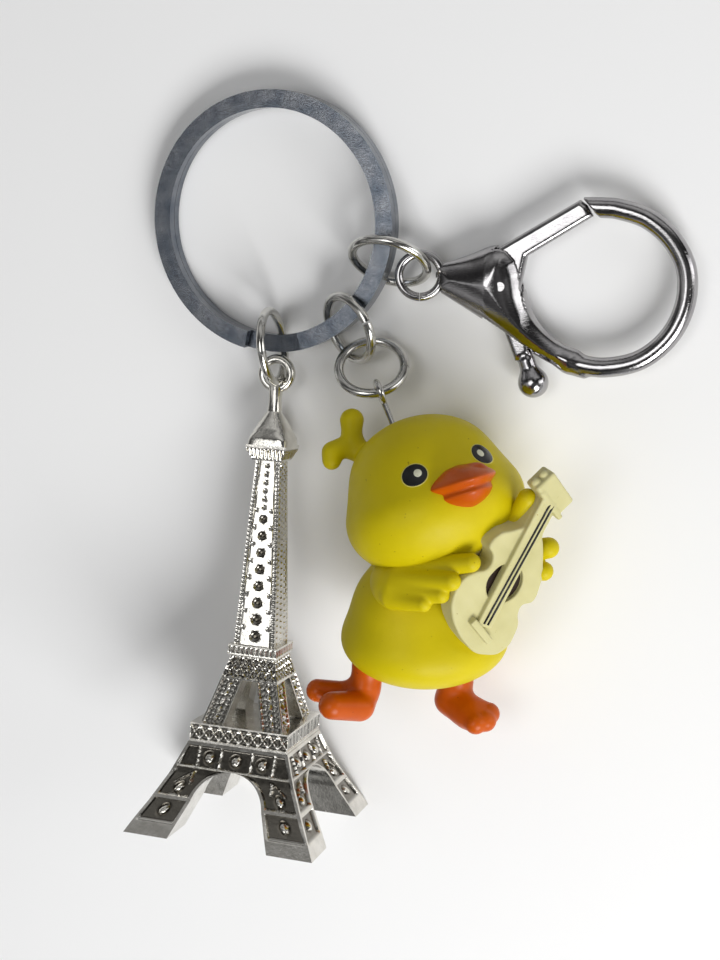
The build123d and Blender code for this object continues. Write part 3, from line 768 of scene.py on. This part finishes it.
def deck_1_relief(side, u, half, z):
    low, high, _ = DECK_1
    band = smooth_step(z, low + 0.4, low + 0.5) * (1 - smooth_step(z, high - 0.3, high - 0.2))
    if side % 2:
        return 0.26 * band * (0.5 + 0.5 * np.cos(2 * math.pi * u / 0.55))
    span = 1.2
    share = (u / span) % 1.0
    rise = (z - low - 0.45) / (high - low - 0.7)
    cross = np.minimum(np.abs(share - rise), np.abs(share + rise - 1.0))
    posts = np.minimum(share, 1 - share)
    ridge = np.maximum(1 - smooth_step(cross, 0.08, 0.16), 1 - smooth_step(posts, 0.05, 0.1))
    stud = 0.2 * np.sqrt(np.maximum(1 - ((share - 0.5) ** 2 + (rise - 0.5) ** 2 * 2.2) / 0.045, 0.0))
    return band * (0.3 * (1 - ridge) - stud)


def mid_leg_relief(side, u, half, z):
    depth = 0.1 * (1 - np.exp(-((half - np.abs(u) - 0.2) / 0.1) ** 2))
    beads = hollow((u + 0.28) % 0.56 - 0.28, (z + 0.28) % 0.56 - 0.28, (0.0, 0.0), 0.24, 0.16)
    studs = hollow(u, (z - 12.4) % 0.95 - 0.475, (0.0, 0.0), 0.34, 0.3)
    inner = half - np.abs(u) > 0.32
    return depth + np.where(inner, 0.16 - beads - studs, 0.0)


def block_relief(side, u, half, z):
    share = (u / 0.9 + 0.5) % 1.0
    rise = (z - 17.5) / 1.3
    lattice = np.minimum(np.abs(share - rise % 1.0), np.abs(share + rise % 1.0 - 1.0))
    beads = hollow((u + 0.22) % 0.44 - 0.22, (z + 0.22) % 0.44 - 0.22, (0.0, 0.0), 0.19, 0.14)
    window = smooth_step(z, 17.55, 17.7) * (1 - smooth_step(z, 19.8, 19.95))
    return window * (0.1 + 0.22 * smooth_step(lattice, 0.08, 0.18) - beads)


def deck_2_relief(side, u, half, z):
    low, high, _ = DECK_2
    band = smooth_step(z, low + 0.15, low + 0.25) * (1 - smooth_step(z, high - 0.25, high - 0.15))
    return 0.2 * band * (0.5 + 0.5 * np.cos(2 * math.pi * u / 0.6))


def shaft_relief(side, u, half, z):
    edge = half - np.abs(u)
    line = 0.13 * np.exp(-((edge - 0.52) / 0.06) ** 2)
    beads = np.where(edge < 0.44, hollow(edge, (z % 0.5) - 0.25, (0.24, 0.0), 0.17, 0.12), 0.0)
    depth = line + beads
    if side % 2:
        for row in (-0.55, 0.0, 0.55):
            shift = 0.35 if row else 0.0
            depth = depth - hollow(u, (z + shift) % 0.7 - 0.35, (row * half, 0.0), 0.2, 0.16)
        return depth + 0.06 * (edge > 0.6)
    for height, radius in LARGE_PITS:
        depth = depth + hollow(u, z, (0.0, height), radius, 0.42)
        for sign in (-1, 1):
            depth = depth + hollow(u, z, (sign * (half - 0.85), height + 0.98), 0.24, 0.2)
    for height, radius in SMALL_PITS:
        depth = depth + hollow(u, z, (0.0, height), radius, 0.24)
    return depth


def cap_band_relief(side, u, half, z):
    low, high = CAP_BAND
    band = smooth_step(z, low + 0.1, low + 0.3) * (1 - smooth_step(z, high - 0.5, high - 0.35))
    return 0.2 * band * (0.5 + 0.5 * np.cos(2 * math.pi * u / 0.46))


def neck_half(z):
    return NECK_RADIUS - 0.1 * math.sin(math.pi * (z - NECK[0]) / (NECK[1] - NECK[0]))


def neck_relief(side, u, half, z):
    """A groove up the middle of the front and back."""
    return 0.2 * np.exp(-(u / 0.14) ** 2) if side % 2 == 0 else np.zeros(len(u))


def no_relief(side, u, half, z):
    return np.zeros(len(u))


def arch_half(z):
    """Half width of the arch opening at a height."""
    shoulder_x, shoulder_z = ARCH_SHOULDER
    if z <= shoulder_z:
        return ARCH_FOOT + (shoulder_x - ARCH_FOOT) * z / shoulder_z
    middle = (ARCH_TOP ** 2 - shoulder_z ** 2 - shoulder_x ** 2) / (2 * (ARCH_TOP - shoulder_z))
    radius = ARCH_TOP - middle
    return math.sqrt(max(radius ** 2 - (z - middle) ** 2, 0.0))


def leg_levels():
    """Heights up a base leg, closer together where the arch closes."""
    straight = np.arange(0.0, ARCH_SHOULDER[1], 0.13)
    curved = ARCH_SHOULDER[1] + (ARCH_TOP - ARCH_SHOULDER[1]) * np.sin(np.linspace(0, math.pi / 2, 34))
    return np.concatenate([straight, curved])


def build_tower():
    parts = []
    outer = profile(BASE_PROFILE)
    mid_outer = profile(MID_PROFILE)
    mid_gap = profile(MID_GAP)

    def four_legs(levels, outer_at, gap_at, relief, cells):
        for sx, sy in ((1, -1), (1, 1), (-1, 1), (-1, -1)):
            sides = (0 if sy < 0 else 2, 1 if sx > 0 else 3)
            parts.append(relief_column(
                levels,
                lambda z: (sx * (outer_at(z) + gap_at(z)) / 2, sy * (outer_at(z) + gap_at(z)) / 2),
                lambda z: (outer_at(z) - gap_at(z)) / 2, relief, cells, sides))

    def column(low, high, step, half, relief, cells, squareness=None):
        count = int(round((high - low) / step)) + 1
        parts.append(relief_column(np.linspace(low, high, count), lambda z: (0.0, 0.0), half, relief, cells,
                                   squareness=squareness))

    four_legs(leg_levels(), outer, arch_half, base_relief, 34)
    column(ARCH_TOP - 0.01, DECK_1[0] + SEAT, 0.11, outer, spandrel_relief, 96)
    column(DECK_1[0], DECK_1[1], 0.09, lambda z: DECK_1[2], deck_1_relief, 140)
    four_legs(np.linspace(MID_GAP[0][0] - SEAT, MID_GAP[1][0], 46), mid_outer, mid_gap, mid_leg_relief, 24)
    column(MID_GAP[1][0] - 0.01, DECK_2[0] + SEAT, 0.09, mid_outer, block_relief, 64)
    column(DECK_2[0], DECK_2[1], 0.08, lambda z: DECK_2[2], deck_2_relief, 80)
    column(SHAFT_PROFILE[0][0], SHAFT_PROFILE[1][0], 0.1, profile(SHAFT_PROFILE), shaft_relief, 40)
    column(CAP_BAND[0], CAP_BAND[1], 0.09, profile(CAP_PROFILE), cap_band_relief, 72)
    column(DOME_PROFILE[0][0], DOME_PROFILE[-1][0], 0.12, profile(DOME_PROFILE), no_relief, 24,
           profile(DOME_SQUARENESS))
    column(NECK[0], NECK[1], 0.15, neck_half, neck_relief, 14, lambda z: 2.4)
    angles = np.linspace(0, 2 * math.pi, 72, endpoint=False)
    across, upward = EYE_MEAN_RADIUS * np.cos(angles), EYE_MEAN_RADIUS * np.sin(angles)
    ring = np.stack([across, np.zeros(72), EYE_HEIGHT + upward], 1)
    eye_points, eye_faces = ring_tube(ring, (0.0, 1.0, 0.0), EYE_WIRE_RADIUS, 20)
    parts.append((eye_points, eye_faces, np.zeros(len(eye_points))))
    points = np.concatenate([part[0] for part in parts])
    faces, start = [], 0
    for part in parts:
        faces += [tuple(start + int(index) for index in face) for face in part[1]]
        start += len(part[0])
    piece = add_piece("tower_casting", points, faces, TOWER, "tower", [NICKEL], ["tower_charm"], 38)
    # Carve depth per point, also read by the nickel material to paint shade into the recesses.
    carved = np.concatenate([part[2] for part in parts])
    attribute = piece.data.attributes.new("carved", "FLOAT", "POINT")
    attribute.data.foreach_set("value", carved.astype(np.float32))
    return piece


def ring_tube(path, side_way, radius, sides):
    """Closed round tube along a flat loop whose plane has that normal."""
    path = np.asarray(path, float)
    forward = np.roll(path, -1, 0) - np.roll(path, 1, 0)
    forward /= np.linalg.norm(forward, axis=1)[:, None]
    side_way = np.array(side_way, float)
    outward = np.cross(forward, side_way)
    angles = 2 * math.pi * np.arange(sides) / sides
    points = (path[:, None] + radius * (np.cos(angles)[None, :, None] * outward[:, None]
                                        + np.sin(angles)[None, :, None] * side_way)).reshape(-1, 3)
    faces = []
    for span in range(len(path)):
        a, b = span * sides, (span + 1) % len(path) * sides
        faces += [(a + s, a + (s + 1) % sides, b + (s + 1) % sides, b + s) for s in range(sides)]
    return points, faces


# ---------------------------------------------------------------- lever clasp

CLASP_UPPER_EDGE = ((-0.75, 1.3), (2.68, 2.39), (5.63, 3.61), (7.42, 3.49), (8.62, 2.3))
CLASP_INNER_EDGE = ((9.17, 0.72), (9.62, -1.78), (10.77, -4.3), (12.82, -6.4), (15.4, -7.75))
CLASP_LOWER_EDGE = ((16.11, -10.39), (12.92, -9.36), (10.09, -7.89), (6.83, -5.85), (3.77, -3.99),
                    (-0.75, -1.4))
CLASP_HOOK = ((14.6, -8.95), (18.3, -9.3), (22.15, -8.29), (25.11, -5.65), (26.62, -2.16), (26.59, 1.56),
              (24.92, 4.67), (22.31, 6.81), (19.33, 7.75), (17.62, 7.9), (15.4, 7.9))
HOOK_RADIUS = 1.1
CLASP_PIVOT = np.array((7.0, -0.6))
LEVER_EDGE = ((5.0, 1.2), (6.2, 3.3), (15.1, 8.7), (15.9, 8.15), (16.6, 7.0), (13.2, 4.85), (9.6, 2.6),
              (8.9, -0.9), (9.3, -3.0), (10.2, -8.0), (8.5, -9.0), (7.1, -5.5), (5.6, -2.0))
LEVER_HALF = 0.8
LEVER_TRAVEL_DEG = 24
LEVER_GAP = 0.16
GATE_REACH = 12.66
THUMB_BALL = (10.55, -11.35, 0.0)
EYE_RING = ((7.93, 24.758, 3.15), (0.0, -1.0, 0.094), (0.182, 0.092, 0.979), 2.38)
CLASP_LINK = ((4.588, 26.292, 3.934), (-0.99, 0.12, 0.0), (-0.096, -0.7819, 0.6159), 4.299)
EYE_RING_SWING = ((8.599, 25.062, 2.997), (0.3466, 0.5538, 0.7571))
CLASP_ORIGIN = (10.31, 24.62, 2.7)
CLASP_TURN_DEG = 60
EYE_RING_SWING_DEG = 10
SHELL_STATIONS = (-1.0, 5.2, 9.2, 16.5)
SHELL_HALF_THICKNESS = (1.4, 2.55, 2.55, 1.15)
SHELL_ROUNDING = 4.2
EYE_RING_CHANNEL = 0.58
LINK_CHANNEL = 0.66
LEVER_HOLE_RADIUS = 0.56
CLASP = TABLE @ axes(CLASP_ORIGIN, (1, 0, 0), (0, 0, 1))


clasp_edge = np.concatenate([open_curve(CLASP_UPPER_EDGE, 6), open_curve(CLASP_INNER_EDGE, 6),
                             open_curve(CLASP_LOWER_EDGE, 6)])
shell_outline_field = LatticeField(polygon_distance, clasp_edge, (-4, -14), (31, 11), 0.12)
hook_path_field = LatticeField(path_distance, open_curve(CLASP_HOOK, 8), (-4, -14), (31, 11), 0.12)
lever_outline_field = LatticeField(polygon_distance, np.array(LEVER_EDGE), (-6, -20), (30, 16), 0.12)


def turned_about(points, centre, axis, degrees):
    turn = np.array(Matrix.Rotation(math.radians(degrees), 3, Vector(axis).normalized()))
    return (points - np.array(centre)) @ turn.T + np.array(centre)


def wire_loop(table_points, loop):
    """Distance to the middle of a wire ring."""
    centre, _, normal, mean_radius = loop
    normal = np.array(Vector(normal).normalized())
    offset = table_points - np.array(centre)
    height = offset @ normal
    radius = np.linalg.norm(offset - height[:, None] * normal, axis=1)
    return np.hypot(radius - mean_radius, height)


def lever_slot(points):
    """Distance in the plane to the area that the lever sweeps."""
    swept = np.full(len(points), 1e9)
    offset = points[:, :2] - CLASP_PIVOT
    for degrees in range(0, LEVER_TRAVEL_DEG + 5, 4):
        cosine, sine = math.cos(math.radians(degrees)), math.sin(math.radians(degrees))
        back = np.stack([offset[:, 0] * cosine - offset[:, 1] * sine,
                         offset[:, 0] * sine + offset[:, 1] * cosine], 1) + CLASP_PIVOT
        swept = np.minimum(swept, lever_outline_field(back))
    return swept


def ring_channels(points):
    """Room in the tail for the eye ring, and for the next link over the clasp's whole turn."""
    room = np.full(len(points), 1e9)
    tail = points[:, 0] < 6.0
    near = points[tail] + np.array(CLASP_ORIGIN)
    channel = wire_loop(near, EYE_RING) - EYE_RING_CHANNEL
    turn_axis = (EYE_RING[0], EYE_RING[2])
    for degrees in range(0, CLASP_TURN_DEG + 1, 10):
        turned = turned_about(near, *turn_axis, degrees)
        channel = np.minimum(channel, wire_loop(turned, CLASP_LINK) - LINK_CHANNEL)
    swung = turned_about(turned_about(near, *turn_axis, CLASP_TURN_DEG), *EYE_RING_SWING, EYE_RING_SWING_DEG)
    room[tail] = np.minimum(channel, wire_loop(swung, CLASP_LINK) - LINK_CHANNEL)
    return room


def clasp_field(points):
    """Domed shell running out into the hook, hollowed for the lever and the two rings."""
    x, y, z = points.T
    half = np.interp(x, SHELL_STATIONS, SHELL_HALF_THICKNESS)
    side = shell_outline_field(points[:, :2])
    inward = np.maximum(side + SHELL_ROUNDING, 0)
    shell = np.sqrt(inward ** 2 + (z * SHELL_ROUNDING / half) ** 2) - SHELL_ROUNDING
    hook = np.hypot(hook_path_field(points[:, :2]), z) - HOOK_RADIUS
    gate_sweep = GATE_REACH - np.hypot(x - CLASP_PIVOT[0], y - CLASP_PIVOT[1])
    hook = np.where(y > 2.0, np.maximum(hook, gate_sweep), hook)
    body = soft_union(shell, hook, 1.2)
    slot = np.maximum(lever_slot(points) - LEVER_GAP, np.abs(z) - LEVER_HALF - LEVER_GAP)
    body = soft_cut(body, slot, 0.12)
    return soft_cut(body, ring_channels(points), 0.1)


def lever_field(points):
    z = points[:, 2]
    plate = extruded(lever_outline_field(points[:, :2]), z, -LEVER_HALF, LEVER_HALF, 0.6)
    stem = rod(points, (9.75, -8.95, 0), THUMB_BALL, 0.95, 1.05)
    ball_end = ball(points, THUMB_BALL, (1.7, 1.7, 1.7))
    lever = soft_union(soft_union(plate, stem, 0.5), ball_end, 0.5)
    from_pin = np.hypot(points[:, 0] - CLASP_PIVOT[0], points[:, 1] - CLASP_PIVOT[1])
    return soft_cut(lever, from_pin - LEVER_HOLE_RADIUS, 0.05)


def build_clasp():
    sculpt("clasp_casting", clasp_field, (-2.2, -12.6, -2.9), (28.6, 10.2, 2.9), 0.16, CLASP, "clasp",
           CHROME_PAINTED_DARK_REFLECTION, ["clasp_body"])
    sculpt("clasp_lever_casting", lever_field, (3.8, -13.8, -2.1), (17.6, 9.8, 2.1), 0.12, CLASP,
           "clasp_lever", CHROME_PAINTED_DARK_REFLECTION, ["clasp_lever"])


# ---------------------------------------------------------------- finishes of CAD nodes

def finish_nodes():
    finishes = {
        RING_CHROME: ("split_ring",),
        CHROME_PAINTED_DARK_REFLECTION: ("clasp_pin", "clasp_eye_ring"),
        LINK_CHROME: ("tower_link", "duck_upper_link", "duck_lower_link", "clasp_link", "screw_eye"),
        STEEL: ("clasp_spring",),
    }
    for material, names in finishes.items():
        for name in names:
            slots = frame["nodes"][name].material_slots
            for index in range(len(slots)):
                slots[index].material = material


# ---------------------------------------------------------------- stage

FLOOR_HALF = 3.0
STUDIO_LIGHTS = (
    ("key_light", (0.24, -0.27, 0.30), (0.25, 0.25), 2.0),
    ("top_light", (-0.07, 0.06, 0.45), (0.24, 0.18), 0.4),
    ("side_light", (0.45, 0.10, 0.15), (0.15, 0.3), 0.35),
)
CAMERA_RIGHT_DEG = 16.5
CAMERA_UP_DEG = 14.5
CAMERA_DISTANCE = 178.0


def area_light(name, place, size, power):
    """Rectangular light aimed at the middle of the part's foot."""
    data = bpy.data.lights.new(name, "AREA")
    data.shape = "RECTANGLE"
    data.size, data.size_y = size
    data.energy = power
    light = bpy.data.objects.new(name, data)
    light.location = place
    light.rotation_euler = (-Vector(place)).to_track_quat("-Z", "Y").to_euler()
    bpy.context.scene.collection.objects.link(light)


def build_stage():
    mesh = bpy.data.meshes.new("floor")
    corners = [(x * FLOOR_HALF, y * FLOOR_HALF, 0) for x, y in ((-1, -1), (1, -1), (1, 1), (-1, 1))]
    mesh.from_pydata(corners, [], [(0, 1, 2, 3)])
    material, tree, shader = new_material("pale_floor", Roughness=0.9)
    tint = ramp(tree, noise(tree, 6.0), "Fac", ((0.3, grey(0.88)), (0.7, grey(0.9))))
    link(tree, tint, "Color", shader, "Base Color")
    mesh.materials.append(material)
    floor = bpy.data.objects.new("floor", mesh)
    bpy.context.scene.collection.objects.link(floor)
    for name, place, size, power in STUDIO_LIGHTS:
        area_light(name, place, size, power)
    world = bpy.data.worlds.new("studio")
    world.use_nodes = True
    surroundings = world.node_tree
    direction = surroundings.nodes.new("ShaderNodeTexCoord")
    room = surroundings.nodes.new("ShaderNodeTexNoise")
    room.inputs["Scale"].default_value = 1.7
    room.inputs["Detail"].default_value = 2.0
    link(surroundings, direction, "Generated", room, "Vector")
    tones = ramp(surroundings, room, "Fac", ((0.4, grey(0.05)), (0.5, grey(0.24)), (0.6, grey(0.85))))
    link(surroundings, tones, "Color", surroundings.nodes["Background"], "Color")
    surroundings.nodes["Background"].inputs["Strength"].default_value = 0.7
    bpy.context.scene.world = world
    bpy.context.scene.view_settings.view_transform = "Standard"


def build_camera():
    """Camera above the table, leaning to the right and up the page."""
    lean = (math.tan(math.radians(CAMERA_RIGHT_DEG)), math.tan(math.radians(CAMERA_UP_DEG)), 1.0)
    back = Vector(lean).normalized()
    right = Vector((0.0, 1.0, 0.0)).cross(back).normalized()
    up = back.cross(right)
    target = TABLE @ Vector((0.0, 0.0, 0.0))
    data = bpy.data.cameras.new("camera")
    data.sensor_width = 36.0
    data.lens = 56.25
    data.clip_start = 0.01
    data.clip_end = 10.0
    camera = bpy.data.objects.new("camera", data)
    matrix = Matrix((right, up, back)).transposed().to_4x4()
    matrix.translation = (target + back * CAMERA_DISTANCE) * MM
    camera.matrix_world = matrix
    bpy.context.scene.collection.objects.link(camera)
    bpy.context.scene.camera = camera


build_duck()
build_guitar()
build_tower()
build_clasp()
finish_nodes()
build_stage()
build_camera()
